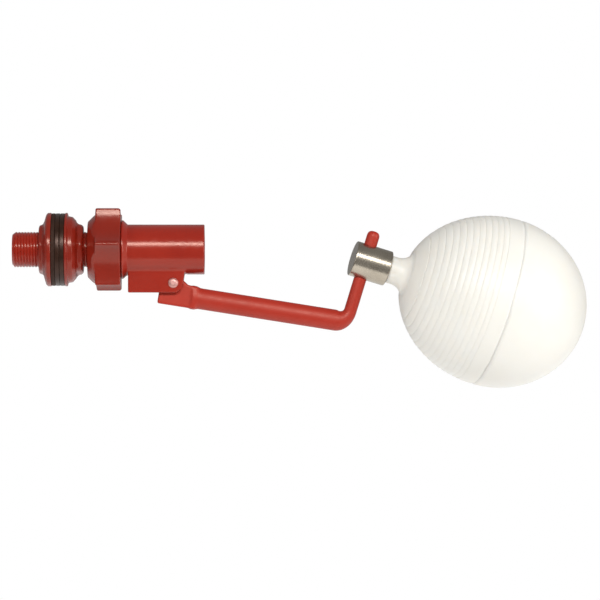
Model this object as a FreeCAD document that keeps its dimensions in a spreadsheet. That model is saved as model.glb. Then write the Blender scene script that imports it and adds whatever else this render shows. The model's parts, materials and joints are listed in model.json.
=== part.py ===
import FreeCAD, Part
import math
import os
import re
import Sketcher

# Float valve for a stock tank: a threaded tail clamped through the tank wall, a union nut, a valve
# body with a plunger worked by a bell-crank lever, and a hollow float clamped on the lever's post.
#
# Frame: +X runs along the body's axis into the tank, +Z is up, millimetres. The origin is on the
# tail's axis in the plane where the inside of the tank wall meets the inner washer. The lever is
# drawn with its arm hanging below level by arm_tilt. The float's axis is square to the post, and its
# clamp is turned a little way round the post, so the float stands float_swing off the lever's plane.

V = FreeCAD.Vector

doc = FreeCAD.newDocument("float_valve")
dims = doc.addObject("Spreadsheet::Sheet", "dims")

SIZES = [
    # tail: both threads are drawn plain, at the crest
    ("thread_radius", 10.67, "half-inch pipe thread outside the lock nut"),
    ("thread_end", 13.5, "wall plane to the end of the pipe thread"),
    ("shank_radius", 10.45, "lock nut's thread, a little smaller"),
    ("tail_bore", 7.0, "water way through the tail, radius"),
    ("inlet_end", 29.1, "wall plane to the inlet end"),
    ("outer_washer_depth", 5.3, "rubber washer outside the wall"),
    ("washer_depth", 2.9, "rubber washer inside the wall"),
    ("washer_radius", 22.0, "both washers"),
    ("thread_gap", 0.15, "radial play in every thread"),
    # nuts on the tail
    ("nut_flange_radius", 22.3, "flange of the lock nut and of the inner nut"),
    ("lock_flange_depth", 3.2, "flange of the lock nut"),
    ("lock_nut_depth", 7.6, "whole lock nut"),
    ("nut_hub_corner", 16.2, "hexagon hub of both nuts, to the corners"),
    ("inner_nut_depth", 11.1, "whole inner nut"),
    ("rim_depth", 1.5, "thin rim of the inner nut"),
    ("drum_radius", 20.3, "drum of the inner nut"),
    ("drum_depth", 6.6, "rim and drum of the inner nut"),
    # union
    ("union_start", 16.7, "wall plane to the union nut"),
    ("union_end", 36.8, "wall plane to the union nut's far face"),
    ("union_taper", 4.6, "round tapered end of the union nut"),
    ("union_corner", 28.4, "sharp corners of the hexagon"),
    ("union_turn", 53, "first corner, degrees from +Y"),
    ("union_hollow", 4.4, "how far each side of the hexagon is scooped"),
    ("union_round", 1.3, "rounding of the corners"),
    ("union_lip", 3.4, "lip that pulls on the tail's collar"),
    ("collar_radius", 14.4, "tail's collar inside the union nut"),
    ("collar_depth", 3.2, "tail's collar"),
    ("collar_gap", 0.2, "play between lip and collar"),
    ("gasket_depth", 2.0, "union gasket"),
    # valve body
    ("body_thread", 16.62, "one-inch pipe thread of the body, crest radius"),
    ("body_radius", 15.2, "outside of the body tube"),
    ("body_bore", 12.0, "bore that guides the plunger"),
    ("body_end", 87.4, "wall plane to the open outlet"),
    ("shoulder_start", 37.1, "shoulder behind the union thread"),
    ("shoulder_end", 40.8, "foot of the shoulder"),
    ("shoulder_radius", 17.8, "top of the shoulder"),
    # bracket and pivot
    ("pivot_along", 68.6, "wall plane to the pivot"),
    ("pivot_drop", 20.2, "body axis down to the pivot"),
    ("bracket_start", 41.2, "wall plane to the bracket"),
    ("ear_radius", 5.9, "rounded end of the ears"),
    ("ear_outside", 8.5, "half width over the ears"),
    ("ear_inside", 5.0, "half width of the gap between the ears"),
    ("gap_start", 54.0, "where the gap between the ears begins"),
    ("pin_radius", 2.0, "pivot pin"),
    ("pin_head", 3.1, "rounded head of the pin"),
    ("clip_depth", 0.7, "retaining clip"),
    ("clip_radius", 4.3, "outside of the retaining clip"),
    # lever
    ("arm_tilt", 9.0, "arm below level at rest, degrees"),
    ("lever_lift", 12.0, "lever turns up this far and shuts the valve"),
    ("head_half", 4.7, "half thickness of the flat head"),
    ("head_depth", 13.4, "flat head, top to bottom"),
    ("head_back", 7.8, "pivot to the back of the head"),
    ("head_front", 14.5, "pivot to the start of the round arm"),
    ("hub_radius", 4.6, "round the pivot"),
    ("arm_drop", 7.0, "pivot down to the arm's axis"),
    ("arm_depth", 12.8, "oval arm, top to bottom"),
    ("arm_width", 11.0, "oval arm, across"),
    ("arm_reach", 107.7, "pivot to the corner of the bend"),
    ("bend_radius", 8.4, "centre line of the bend"),
    ("post_radius", 3.85, "round post"),
    ("post_height", 57.5, "corner of the bend to the top of the post"),
    ("leg_half", 2.6, "half width of the short leg"),
    ("leg_side", 3.0, "half thickness of the short leg"),
    ("toe_radius", 3.8, "round toe in the plunger's slot"),
    # nozzle and plunger
    ("nozzle_tip", 38.6, "wall plane to the seat"),
    ("nozzle_bore", 4.0, "jet radius"),
    ("seat_gap", 0.05, "seat to disc when shut"),
    ("disc_radius", 7.5, "rubber seat disc"),
    ("disc_depth", 3.5, "rubber seat disc"),
    ("disc_proud", 0.8, "disc stands out of its cup"),
    ("plunger_radius", 11.85, "plunger in the bore"),
    ("plunger_end", 79.4, "wall plane to the plunger's back end"),
    ("flute_radius", 4.0, "water ways along the plunger"),
    ("slot_half", 4.2, "half width of the slot for the toe"),
    ("slot_mouth", 7.9, "half width of the slot at its mouth"),
    # clamp and float
    ("clamp_tilt", 17.0, "float axis below level at rest, degrees"),
    ("float_swing", 8.5, "clamp and float round the post, degrees"),
    ("clamp_height", 38.2, "corner of the bend to the float's axis"),
    ("clamp_radius", 10.75, "steel clamp collar"),
    ("clamp_back", 8.0, "post's axis to the collar's blind end"),
    ("clamp_front", 14.45, "post's axis to the collar's open end"),
    ("clamp_bore", 6.2, "threaded bore of the clamp collar"),
    ("post_play", 0.1, "post in the clamp's cross hole"),
    ("stud_radius", 6.0, "float stud and pressure pad"),
    ("pad_face", 7.0, "post's axis to the back of the pressure pad"),
    ("float_reach", 84.6, "post's axis to the weld between the float's halves"),
    ("neck_half_long", 60.5, "float's neck half, along its axis"),
    ("far_half_long", 55.5, "float's far half, along its axis"),
    ("float_radius", 52.0, "float, greatest radius"),
    ("float_wall", 1.8, "float wall"),
    ("neck_radius", 8.4, "float neck"),
    ("neck_start", 14.75, "post's axis to the end of the neck"),
]

for row, (alias, value, note) in enumerate(SIZES, 1):
    dims.set(f"A{row}", alias)
    dims.set(f"B{row}", str(value))
    dims.setAlias(f"B{row}", alias)
    dims.set(f"C{row}", note)
doc.recompute()
ALIASES = {alias for alias, value, note in SIZES}


def linked(expression):
    """The expression with each of the sheet's words pointing at its cell."""
    return re.sub(r"[a-z_]+", lambda m: ("dims." if m.group() in ALIASES else "") + m.group(),
                  str(expression))


def size(expression):
    return float(dims.evalExpression(linked(expression)))


def bind(thing, prop, expression):
    thing.setExpression(prop, linked(expression))


BODIES = {}


def new_body(label, placement=None):
    body = doc.addObject("PartDesign::Body", label)
    body.Label = label
    if placement:
        body.Placement = placement
    BODIES[label] = body
    return body


def sketch_on(body, plane, name):
    sketch = body.newObject("Sketcher::SketchObject", name)
    support = [feature for feature in body.Origin.OriginFeatures if feature.Role == plane][0]
    sketch.AttachmentSupport = (support, [""])
    sketch.MapMode = "FlatFace"
    return sketch


def arc_between(start, end, radius):
    """Arc from start to end: a plus radius turns left on the way, a minus radius turns right."""
    chord = end - start
    half = chord.Length / 2
    reach = math.sqrt(radius * radius - half * half)
    left = V(-chord.y, chord.x, 0).normalize()
    side = 1 if radius > 0 else -1
    centre = start + chord / 2 + left * reach * side
    first, last = (start, end) if radius > 0 else (end, start)
    circle = Part.Circle(centre, V(0, 0, 1), abs(radius))
    return Part.ArcOfCircle(circle, math.atan2(first.y - centre.y, first.x - centre.x),
                            math.atan2(last.y - centre.y, last.x - centre.x))


def outline(body, plane, name, corners):
    """Closed sketch. Each corner is (across, up) or (across, up, radius of the arc to the next)."""
    sketch = sketch_on(body, plane, name)
    points = [V(size(corner[0]), size(corner[1]), 0) for corner in corners]
    ends = []
    for index, corner in enumerate(corners):
        start, end = points[index], points[(index + 1) % len(points)]
        if len(corner) == 2:
            sketch.addGeometry(Part.LineSegment(start, end), False)
            ends.append((1, 2))
            continue
        radius = size(corner[2])
        sketch.addGeometry(arc_between(start, end, radius), False)
        ends.append((1, 2) if radius > 0 else (2, 1))
    for index in range(len(corners)):
        following = (index + 1) % len(corners)
        joined = (index, ends[index][1], following, ends[following][0])
        sketch.addConstraint(Sketcher.Constraint("Coincident", *joined))
    for index, corner in enumerate(corners):
        for kind, value, expression in (("DistanceX", points[index].x, corner[0]),
                                        ("DistanceY", points[index].y, corner[1])):
            number = sketch.addConstraint(Sketcher.Constraint(kind, -1, 1, index, ends[index][0], value))
            bind(sketch, f"Constraints[{number}]", expression)
        if len(corner) == 3:
            number = sketch.addConstraint(Sketcher.Constraint("Radius", index, abs(size(corner[2]))))
            bind(sketch, f"Constraints[{number}]", f"abs({corner[2]})")
    return sketch


def circle(body, plane, name, across, up, radius):
    sketch = sketch_on(body, plane, name)
    centre = V(size(across), size(up), 0)
    sketch.addGeometry(Part.Circle(centre, V(0, 0, 1), size(radius)), False)
    for kind, value, expression in (("DistanceX", centre.x, across), ("DistanceY", centre.y, up)):
        number = sketch.addConstraint(Sketcher.Constraint(kind, -1, 1, 0, 3, value))
        bind(sketch, f"Constraints[{number}]", expression)
    number = sketch.addConstraint(Sketcher.Constraint("Radius", 0, size(radius)))
    bind(sketch, f"Constraints[{number}]", radius)
    return sketch


def turned(body, name, corners, axis="H_Axis", plane="XZ_Plane", cut=False):
    """Turn an outline round the body's own X axis (or the sketch axis given)."""
    sketch = outline(body, plane, name + "_outline", corners)
    feature = body.newObject("PartDesign::Groove" if cut else "PartDesign::Revolution", name)
    feature.Profile = sketch
    feature.ReferenceAxis = (sketch, [axis])
    feature.Angle = 360
    sketch.Visibility = False
    doc.recompute()
    return feature


def extruded(body, name, sketch, length, cut=False):
    """Pad or pocket, the same distance to both sides of the sketch."""
    feature = body.newObject("PartDesign::Pocket" if cut else "PartDesign::Pad", name)
    feature.Profile = sketch
    feature.SideType = "Symmetric"
    bind(feature, "Length", length)
    sketch.Visibility = False
    doc.recompute()
    return feature


def grown_from(body, name, base, at, length):
    """Pad the flat end of base that lies at the point at."""
    faces = base.Shape.Faces
    nearest = min(range(len(faces)), key=lambda n: faces[n].CenterOfMass.distanceToPoint(at))
    feature = body.newObject("PartDesign::Pad", name)
    feature.Profile = (base, [f"Face{nearest + 1}"])
    feature.Length = length
    doc.recompute()
    return feature


def edges_where(feature, wanted):
    return [f"Edge{number}" for number, edge in enumerate(feature.Shape.Edges, 1) if wanted(edge)]


def rounded(body, name, base, radius, wanted, chamfer=False):
    feature = body.newObject("PartDesign::Chamfer" if chamfer else "PartDesign::Fillet", name)
    feature.Base = (base, edges_where(base, wanted))
    bind(feature, "Size" if chamfer else "Radius", radius)
    doc.recompute()
    return feature


def hexagon(body, name, corner, turn, at, depth, hollow="0"):
    """Hexagon bar along X from at, with its sides scooped by hollow."""
    corners = []
    arc = f"-(({corner})^2 / 4 + ({hollow})^2) / (2 * {hollow})"
    for side in range(6):
        angle = f"({turn} + {60 * side}) * 1 deg"
        point = (f"({corner}) * cos({angle})", f"({corner}) * sin({angle})")
        corners.append(point + (arc,) if hollow != "0" else point)
    sketch = outline(body, "YZ_Plane", name + "_outline", corners)
    sketch.setExpression("AttachmentOffset.Base.z", linked(at))
    feature = body.newObject("PartDesign::Pad", name)
    feature.Profile = sketch
    bind(feature, "Length", depth)
    sketch.Visibility = False
    doc.recompute()
    return feature


lever_frame = FreeCAD.Placement(V(size("pivot_along"), 0, -size("pivot_drop")),
                                FreeCAD.Rotation(V(0, 1, 0), size("arm_tilt")))
post_lean = math.radians(size("clamp_tilt - arm_tilt"))
post_axis = V(math.sin(post_lean), 0, math.cos(post_lean))
bend_corner = V(size("arm_reach"), 0, -size("arm_drop"))
clamp_frame = FreeCAD.Placement(lever_frame.multVec(bend_corner + post_axis * size("clamp_height")),
                                FreeCAD.Rotation(V(0, 1, 0), size("clamp_tilt"))
                                * FreeCAD.Rotation(V(0, 0, 1), size("float_swing")))


# ---- tail: the tube through the tank wall, with what is on it --------------------------------

def build_tail():
    shank = new_body("inlet_shank")
    turned(shank, "tube", [
        ("-inlet_end", "tail_bore"),
        ("-inlet_end", "thread_radius - 1.2"),
        ("1.2 - inlet_end", "thread_radius"),
        ("-thread_end", "thread_radius"),
        ("-thread_end", "shank_radius"),
        ("union_start + union_lip + collar_gap", "shank_radius"),
        ("union_start + union_lip + collar_gap", "collar_radius"),
        ("union_start + union_lip + collar_gap + collar_depth", "collar_radius"),
        ("union_start + union_lip + collar_gap + collar_depth", "tail_bore")])

    for label, start, end in (("outer_washer", "-outer_washer_depth", "0"),
                              ("inner_washer", "0", "washer_depth")):
        washer = new_body(label)
        turned(washer, label + "_ring", [
            (start, "thread_radius + 2 * thread_gap"),
            (start, "washer_radius - 0.4"),
            (f"{start} + 0.4", "washer_radius"),
            (f"{end} - 0.4", "washer_radius"),
            (end, "washer_radius - 0.4"),
            (end, "thread_radius + 2 * thread_gap")])

    # the lock nut's flange faces +X and its hexagon hub faces the inlet
    lock_nut = new_body("lock_nut")
    lock_end = "-outer_washer_depth - lock_nut_depth"
    flange_back = "-outer_washer_depth - lock_flange_depth"
    hexagon(lock_nut, "hub", "nut_hub_corner", "7", lock_end, "lock_nut_depth - 1")
    turned(lock_nut, "hub_ends", [
        (lock_end, "nut_hub_corner - 1.8"),
        (f"{lock_end} + 1", "nut_hub_corner + 0.4"),
        (f"{lock_end} + 1", "nut_hub_corner + 2"),
        (f"{lock_end} - 1", "nut_hub_corner + 2"),
        (f"{lock_end} - 1", "nut_hub_corner - 1.8")], cut=True)
    turned(lock_nut, "flange", [
        (f"{flange_back} - 1.2", "thread_radius + 1"),
        (f"{flange_back} - 1.2", "nut_hub_corner + 0.2"),
        (flange_back, "nut_flange_radius - 0.9"),
        (f"{flange_back} + 0.9", "nut_flange_radius"),
        ("-outer_washer_depth - 0.3", "nut_flange_radius"),
        ("-outer_washer_depth", "nut_flange_radius - 0.3"),
        ("-outer_washer_depth", "thread_radius + 1")])
    turned(lock_nut, "thread_bore", [
        (f"{lock_end} - 1", "0"),
        (f"{lock_end} - 1", "thread_radius + thread_gap"),
        ("1 - outer_washer_depth", "thread_radius + thread_gap"),
        ("1 - outer_washer_depth", "0")], cut=True)

    # the inner nut is the shank's fixed flange: thin rim, drum and a short hexagon hub
    inner_nut = new_body("inner_nut")
    hexagon(inner_nut, "hub", "nut_hub_corner", "7", "washer_depth + 1", "inner_nut_depth - 1")
    turned(inner_nut, "drum", [
        ("washer_depth", "thread_radius + 1"),
        ("washer_depth", "nut_flange_radius - 0.3"),
        ("washer_depth + 0.3", "nut_flange_radius"),
        ("washer_depth + rim_depth", "nut_flange_radius"),
        ("washer_depth + rim_depth + 0.5", "drum_radius"),
        ("washer_depth + drum_depth - 2", "drum_radius - 0.5"),
        ("washer_depth + drum_depth", "drum_radius - 2.6"),
        ("washer_depth + drum_depth + 0.6", "nut_hub_corner - 0.4"),
        ("washer_depth + drum_depth + 0.6", "thread_radius + 1")])
    turned(inner_nut, "thread_bore", [
        ("washer_depth - 1", "0"),
        ("washer_depth - 1", "thread_radius + thread_gap"),
        ("washer_depth + inner_nut_depth + 1", "thread_radius + thread_gap"),
        ("washer_depth + inner_nut_depth + 1", "0")], cut=True)


# ---- union: captive nut and gasket --------------------------------------------------------------

def build_union():
    nut = new_body("union_nut")
    bar = hexagon(nut, "bar", "union_corner", "union_turn", "union_start", "union_end - union_start",
                  hollow="union_hollow")
    ridge = size("union_corner") - 0.5
    rounded(nut, "ridges", bar, "union_round",
            lambda edge: edge.Length > 19 and all(math.hypot(v.Y, v.Z) > ridge for v in edge.Vertexes)
            and abs(edge.Vertexes[0].X - edge.Vertexes[-1].X) > 1)
    turned(nut, "back_taper", [
        ("union_start - 1", "body_thread + 0.3"),
        ("union_start", "body_thread + 0.3"),
        ("union_start + union_taper", "body_thread + 4.8"),
        ("union_start + union_taper + 0.6", "union_corner + 0.3"),
        ("union_start + union_taper + 0.6", "union_corner + 2"),
        ("union_start - 1", "union_corner + 2")], cut=True)
    turned(nut, "front_chamfer", [
        ("union_end - 1.2", "union_corner + 0.3"),
        ("union_end", "union_corner - 2.8"),
        ("union_end + 1", "union_corner - 2.8"),
        ("union_end + 1", "union_corner + 2"),
        ("union_end - 1.2", "union_corner + 2")], cut=True)
    turned(nut, "bore", [
        ("union_start - 1", "0"),
        ("union_start - 1", "thread_radius + 0.25"),
        ("union_start + union_lip", "thread_radius + 0.25"),
        ("union_start + union_lip", "body_thread + thread_gap"),
        ("union_end + 1", "body_thread + thread_gap"),
        ("union_end + 1", "0")], cut=True)

    collar_end = "union_start + union_lip + collar_gap + collar_depth"
    gasket = new_body("union_gasket")
    turned(gasket, "ring", [
        (collar_end, "tail_bore + 0.5"),
        (collar_end, "collar_radius"),
        (f"{collar_end} + gasket_depth", "collar_radius"),
        (f"{collar_end} + gasket_depth", "tail_bore + 0.5")])


# ---- valve body, nozzle and plunger -------------------------------------------------------------

BODY_START = "union_start + union_lip + collar_gap + collar_depth + gasket_depth"
NOZZLE_SEAT = BODY_START + " + 2.5"
DISC_FACE = "nozzle_tip + seat_gap + pivot_drop * lever_lift * pi / 180"


def build_valve_body():
    body = new_body("valve_body")
    turned(body, "barrel", [
        (BODY_START, "0"),
        (BODY_START, "body_thread - 1"),
        (BODY_START + " + 1", "body_thread"),
        ("shoulder_start", "body_thread"),
        ("shoulder_start", "shoulder_radius"),
        ("shoulder_start + 0.8", "shoulder_radius"),
        ("shoulder_end", "body_radius"),
        ("body_end - 0.6", "body_radius"),
        ("body_end", "body_radius - 0.6"),
        ("body_end", "0")])
    bracket = outline(body, "XZ_Plane", "bracket_outline", [
        ("bracket_start", "-body_bore - 0.4"),
        ("bracket_start", "1.2 - pivot_drop - ear_radius", "1.2"),
        ("bracket_start + 1.2", "-pivot_drop - ear_radius"),
        ("pivot_along", "-pivot_drop - ear_radius", "ear_radius"),
        ("pivot_along + ear_radius", "-pivot_drop"),
        ("pivot_along + ear_radius + 1", "-body_bore - 0.4")])
    extruded(body, "bracket", bracket, "2 * ear_outside")
    gap = outline(body, "XZ_Plane", "gap_outline", [
        ("gap_start", "-body_radius"),
        ("gap_start", "-pivot_drop - ear_radius - 1"),
        ("pivot_along + 2 * ear_radius", "-pivot_drop - ear_radius - 1"),
        ("pivot_along + 2 * ear_radius", "-body_radius")])
    extruded(body, "gap", gap, "2 * ear_inside", cut=True)
    turned(body, "bore", [
        (BODY_START + " - 1", "0"),
        (BODY_START + " - 1", "body_bore + 1.7"),
        (NOZZLE_SEAT, "body_bore + 1.7"),
        (NOZZLE_SEAT, "body_bore"),
        ("body_end - 0.8", "body_bore"),
        ("body_end", "body_bore + 0.8"),
        ("body_end + 1", "body_bore + 0.8"),
        ("body_end + 1", "0")], cut=True)
    slot = outline(body, "XZ_Plane", "slot_outline", [
        ("pivot_along - 8", "-body_bore + 3"),
        ("pivot_along - 8", "-body_radius - 1"),
        ("pivot_along + 8", "-body_radius - 1"),
        ("pivot_along + 8", "-body_bore + 3")])
    extruded(body, "lever_slot", slot, "2 * leg_side + 1", cut=True)
    pin_hole = circle(body, "XZ_Plane", "pin_hole_outline", "pivot_along", "-pivot_drop", "pin_radius")
    extruded(body, "pin_hole", pin_hole, "4 * ear_outside", cut=True)


def build_nozzle():
    nozzle = new_body("nozzle")
    turned(nozzle, "jet", [
        (BODY_START, "tail_bore"),
        (BODY_START, "body_bore + 1.6"),
        (NOZZLE_SEAT, "body_bore + 1.6"),
        (NOZZLE_SEAT, "body_bore - 0.1"),
        (NOZZLE_SEAT + " + 1.4", "body_bore - 0.1"),
        (NOZZLE_SEAT + " + 1.4", "body_bore - 1.65"),
        (NOZZLE_SEAT + " + 3.4", "body_bore - 1.65"),
        (NOZZLE_SEAT + " + 3.4", "body_bore - 0.1"),
        (NOZZLE_SEAT + " + 4.8", "body_bore - 0.1"),
        (NOZZLE_SEAT + " + 6", "nozzle_bore + 3"),
        ("nozzle_tip - 1", "nozzle_bore + 2.2"),
        ("nozzle_tip", "nozzle_bore + 0.9"),
        ("nozzle_tip", "nozzle_bore"),
        (NOZZLE_SEAT + " + 3", "nozzle_bore")])
    ring = new_body("nozzle_o_ring")
    section = circle(ring, "XZ_Plane", "section", NOZZLE_SEAT + " + 2.4", "body_bore - 0.83", "0.79")
    feature = ring.newObject("PartDesign::Revolution", "ring")
    feature.Profile = section
    feature.ReferenceAxis = (section, ["H_Axis"])
    feature.Angle = 360


def build_plunger():
    plunger = new_body("plunger")
    turned(plunger, "blank", [
        (DISC_FACE + " + disc_depth", "0"),
        (DISC_FACE + " + disc_depth", "disc_radius + 0.05"),
        (DISC_FACE + " + disc_proud", "disc_radius + 0.05"),
        (DISC_FACE + " + disc_proud", "disc_radius + 1.3"),
        (DISC_FACE + " + disc_depth", "disc_radius + 1.3"),
        (DISC_FACE + " + disc_depth + 2", "plunger_radius"),
        ("plunger_end - 1", "plunger_radius"),
        ("plunger_end", "plunger_radius - 1"),
        ("plunger_end", "0")])
    flute = circle(plunger, "YZ_Plane", "flute_outline", "(plunger_radius + 0.6) * cos(45 deg)",
                   "(plunger_radius + 0.6) * sin(45 deg)", "flute_radius")
    cut = extruded(plunger, "flute", flute, "4 * plunger_end", cut=True)
    flutes = plunger.newObject("PartDesign::PolarPattern", "flutes")
    flutes.Originals = [cut]
    flutes.Axis = (flute, ["N_Axis"])
    flutes.Angle = 360
    flutes.Occurrences = 4
    plunger.Tip = flutes
    doc.recompute()
    slot = outline(plunger, "XZ_Plane", "slot_outline", [
        ("pivot_along - slot_half", "toe_radius + 0.8"),
        ("pivot_along - slot_half", "-2.5"),
        ("pivot_along - slot_mouth", "-plunger_radius - 1"),
        ("pivot_along + slot_mouth", "-plunger_radius - 1"),
        ("pivot_along + slot_half", "-2.5"),
        ("pivot_along + slot_half", "toe_radius + 0.8")])
    extruded(plunger, "toe_slot", slot, "2 * leg_side + 0.6", cut=True)

    disc = new_body("seat_disc")
    turned(disc, "disc", [
        (DISC_FACE, "0"),
        (DISC_FACE, "disc_radius - 0.3"),
        (DISC_FACE + " + 0.3", "disc_radius"),
        (DISC_FACE + " + disc_depth", "disc_radius"),
        (DISC_FACE + " + disc_depth", "0")])


# ---- pivot ----------------------------------------------------------------------------------------

def build_pivot():
    at_pivot = FreeCAD.Placement(V(size("pivot_along"), 0, -size("pivot_drop")), FreeCAD.Rotation())
    pin = new_body("pivot_pin", at_pivot)
    turned(pin, "pin", [
        ("0", "-ear_outside - 1.5"),
        ("1.4", "-ear_outside - 1.5", "2.6"),
        ("pin_head", "-ear_outside - 0.3"),
        ("pin_head", "-ear_outside"),
        ("pin_radius - 0.02", "-ear_outside"),
        ("pin_radius - 0.02", "ear_outside + 0.1"),
        ("pin_radius - 0.6", "ear_outside + 0.1"),
        ("pin_radius - 0.6", "ear_outside + 0.2 + clip_depth"),
        ("pin_radius - 0.02", "ear_outside + 0.2 + clip_depth"),
        ("pin_radius - 0.02", "ear_outside + 1.4 + clip_depth"),
        ("pin_radius - 0.5", "ear_outside + 1.9 + clip_depth"),
        ("0", "ear_outside + 1.9 + clip_depth")], axis="V_Axis", plane="XY_Plane")
    clip = new_body("pivot_clip", at_pivot)
    turned(clip, "clip_ring", [
        ("pin_radius - 0.55", "ear_outside + 0.15"),
        ("clip_radius", "ear_outside + 0.15"),
        ("clip_radius", "ear_outside + 0.15 + clip_depth"),
        ("pin_radius - 0.55", "ear_outside + 0.15 + clip_depth")], axis="V_Axis", plane="XY_Plane")
    mouth = outline(clip, "XZ_Plane", "mouth_outline", [
        ("0.55 - pin_radius", "0"),
        ("-clip_radius", "-clip_radius - 1"),
        ("clip_radius", "-clip_radius - 1"),
        ("pin_radius - 0.55", "0")])
    extruded(clip, "mouth", mouth, "4 * ear_outside", cut=True)


# ---- lever: flat head, oval arm, bend and round post in one moulding ----------------------------

def oval(body, name, centre, along, depth, width):
    """Ellipse square to along at centre, its long axis in the lever's plane."""
    sketch = sketch_on(body, "XY_Plane", name)
    inward = V(0, 1, 0).cross(along)
    sketch.AttachmentOffset = FreeCAD.Placement(centre, FreeCAD.Rotation(inward, V(), along, "ZXY"))
    major, minor = size(depth) / 2, size(width) / 2
    sketch.addGeometry(Part.Ellipse(V(major, 0, 0), V(0, minor, 0), V()), False)
    sketch.exposeInternalGeometry(0)
    sketch.addConstraint(Sketcher.Constraint("Coincident", 0, 3, -1, 1))
    sketch.addConstraint(Sketcher.Constraint("PointOnObject", 1, 1, -1))
    long_way = sketch.addConstraint(Sketcher.Constraint("Distance", 1, 2 * major))
    short_way = sketch.addConstraint(Sketcher.Constraint("Distance", 2, 2 * minor))
    bind(sketch, f"Constraints[{long_way}]", depth)
    bind(sketch, f"Constraints[{short_way}]", width)
    return sketch


def build_lever():
    lever = new_body("lever_arm", lever_frame)

    # the bend: ovals from the arm's section to the post's, round one arc
    turn = math.pi / 2 - post_lean
    setback = size("bend_radius") * math.tan(turn / 2)
    bend_start = bend_corner - V(setback, 0, 0)
    bend_centre = bend_start + V(0, 0, size("bend_radius"))
    steps = 5
    ring = []
    for step in range(steps + 1):
        share = step / steps
        angle = turn * share
        centre = bend_centre + V(math.sin(angle), 0, -math.cos(angle)) * size("bend_radius")
        along = V(math.cos(angle), 0, math.sin(angle))
        swell = 1 - share * share * (3 - 2 * share)
        ring.append(oval(lever, f"bend_{step}", centre, along,
                         f"2 * post_radius + {swell} * (arm_depth - 2 * post_radius) + 0.04",
                         f"2 * post_radius + {swell} * (arm_width - 2 * post_radius)"))
    bend = lever.newObject("PartDesign::AdditiveLoft", "bend")
    bend.Profile = ring[0]
    bend.Sections = ring[1:]
    doc.recompute()
    arm = grown_from(lever, "arm", bend, bend_start, bend_start.x - size("head_front") + 1.5)
    post = grown_from(lever, "post", arm, bend_corner + post_axis * setback, size("post_height") - setback)
    top = bend_corner + post_axis * size("post_height")
    rounded(lever, "post_top", post, "post_radius - 0.9",
            lambda edge: all(v.Point.distanceToPoint(top) < size("post_radius") + 0.1 for v in edge.Vertexes))

    head = outline(lever, "XZ_Plane", "head_outline", [
        ("-head_back", "2.5 - arm_drop - head_depth / 2", "2.5"),
        ("2.5 - head_back", "-arm_drop - head_depth / 2"),
        ("head_front", "-arm_drop - head_depth / 2"),
        ("head_front", "head_depth / 2 - arm_drop"),
        ("hub_radius * 0.7", "hub_radius * 0.7"),
        ("-hub_radius * 0.7", "hub_radius * 0.7"),
        ("-head_back", "-3.5")])
    extruded(lever, "head", head, "2 * head_half")
    hub = circle(lever, "XZ_Plane", "hub_outline", "0", "0", "hub_radius")
    extruded(lever, "hub", hub, "2 * head_half")
    upright = FreeCAD.Placement(V(), FreeCAD.Rotation(V(0, 0, 1), size("arm_tilt")))
    leg = outline(lever, "XZ_Plane", "leg_outline", [
        ("-leg_half", "0"),
        ("leg_half", "0"),
        ("leg_half", "pivot_drop"),
        ("-leg_half", "pivot_drop")])
    toe = circle(lever, "XZ_Plane", "toe_outline", "0", "pivot_drop", "toe_radius")
    for name, sketch in (("leg", leg), ("toe", toe)):
        sketch.AttachmentOffset = upright
        extruded(lever, name, sketch, "2 * leg_side")
    pin_hole = circle(lever, "XZ_Plane", "pin_hole_outline", "0", "0", "pin_radius + 0.05")
    extruded(lever, "pin_hole", pin_hole, "4 * head_half", cut=True)


# ---- clamp: steel collar across the post, with its pad -----------------------------------------

def build_clamp():
    collar = new_body("clamp_collar", clamp_frame)
    turned(collar, "bar", [
        ("-clamp_back", "0"),
        ("-clamp_back", "clamp_radius - 0.7"),
        ("0.7 - clamp_back", "clamp_radius"),
        ("clamp_front - 0.7", "clamp_radius"),
        ("clamp_front", "clamp_radius - 0.7"),
        ("clamp_front", "0")])
    turned(collar, "bore", [
        ("-post_radius - 2.4", "0"),
        ("-post_radius - 1.2", "clamp_bore"),
        ("clamp_front - 0.8", "clamp_bore"),
        ("clamp_front", "clamp_bore + 0.8"),
        ("clamp_front + 1", "clamp_bore + 0.8"),
        ("clamp_front + 1", "0")], cut=True)
    cross = circle(collar, "XY_Plane", "cross_outline", "0", "0", "post_radius + post_play")
    extruded(collar, "cross_hole", cross, "4 * clamp_radius", cut=True)

    pad = new_body("pressure_pad", clamp_frame)
    turned(pad, "slug", [
        ("1.4", "0"),
        ("1.4", "stud_radius - 0.1"),
        ("pad_face", "stud_radius - 0.1"),
        ("pad_face", "0")])
    groove = circle(pad, "XY_Plane", "groove_outline", "0", "0", "post_radius + post_play")
    extruded(pad, "post_groove", groove, "4 * stud_radius", cut=True)


# ---- float: threaded stud, ribbed half with the neck, plain half --------------------------------

def half_ellipsoid(body, name, near, inset, whole=False, cut=False):
    """Half of the float about the body's X axis, smaller by inset; whole mirrors it too."""
    kind = "Subtractive" if cut else "Additive"
    half_long = "neck_half_long" if near else "far_half_long"
    feature = body.newObject(f"PartDesign::{kind}Ellipsoid", name)
    feature.Placement = FreeCAD.Placement(V(size("float_reach"), 0, 0),
                                          FreeCAD.Rotation(V(0, 1, 0), 90))
    bind(feature, "Radius1", f"{half_long} - {inset}")
    bind(feature, "Radius2", f"float_radius - {inset}")
    bind(feature, "Radius3", f"float_radius - {inset}")
    feature.Angle1 = -90 if near or whole else 0
    feature.Angle2 = 0 if near and not whole else 90
    feature.Angle3 = 360
    doc.recompute()
    return feature


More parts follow.
